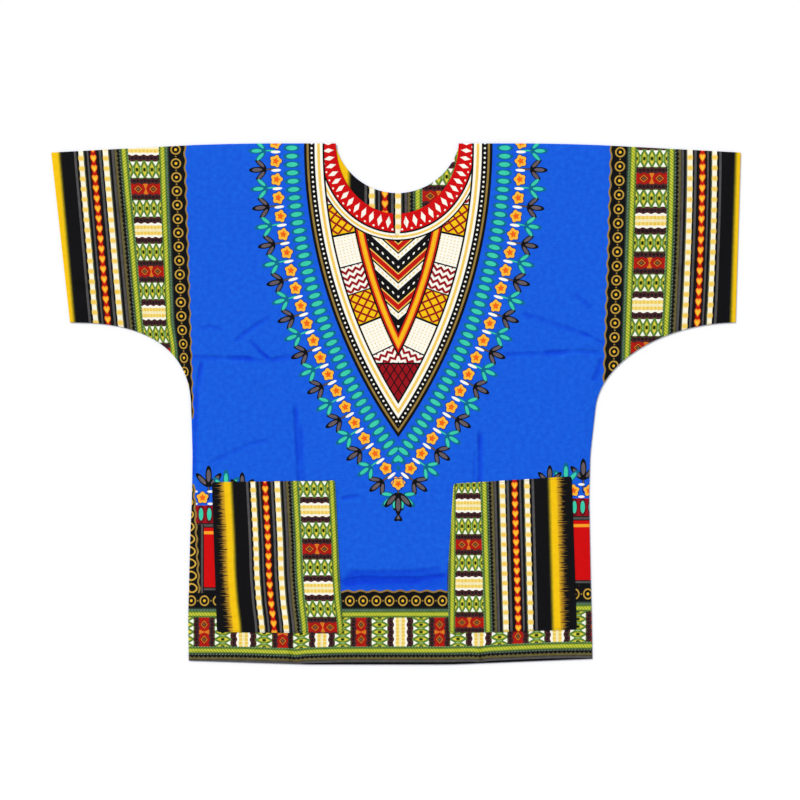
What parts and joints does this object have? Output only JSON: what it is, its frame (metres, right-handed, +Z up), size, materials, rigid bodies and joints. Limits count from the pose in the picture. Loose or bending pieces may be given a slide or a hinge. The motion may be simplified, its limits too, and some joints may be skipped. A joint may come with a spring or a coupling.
{
  "type": "dashiki shirt",
  "caption": "Loose short-sleeved pullover shirt laid flat, cut in one with its sleeves, with a slit round neck, a pointed printed neck ornament, bordered sleeves and patch pockets.",
  "frame": {"origin": "middle of the shirt's bounding box, on the surface that the shirt lies on, under its back", "axes": "+X along the sleeves, to the right of someone who looks down at the front; +Y from the hem to the shoulders; +Z up, out of the front"},
  "size_m": [1.068, 0.807, 0.0077],
  "materials": {
    "body_cloth": "matte plain-weave cotton, printed",
    "border_cloth": "matte plain-weave cotton, printed in stripes"
  },
  "bodies": {
    "root": {"back_panel": "body_cloth", "front_panel": "body_cloth", "neck_facing": "border_cloth", "pocket_left": "border_cloth", "pocket_right": "border_cloth"}
  },
  "joints": []
}
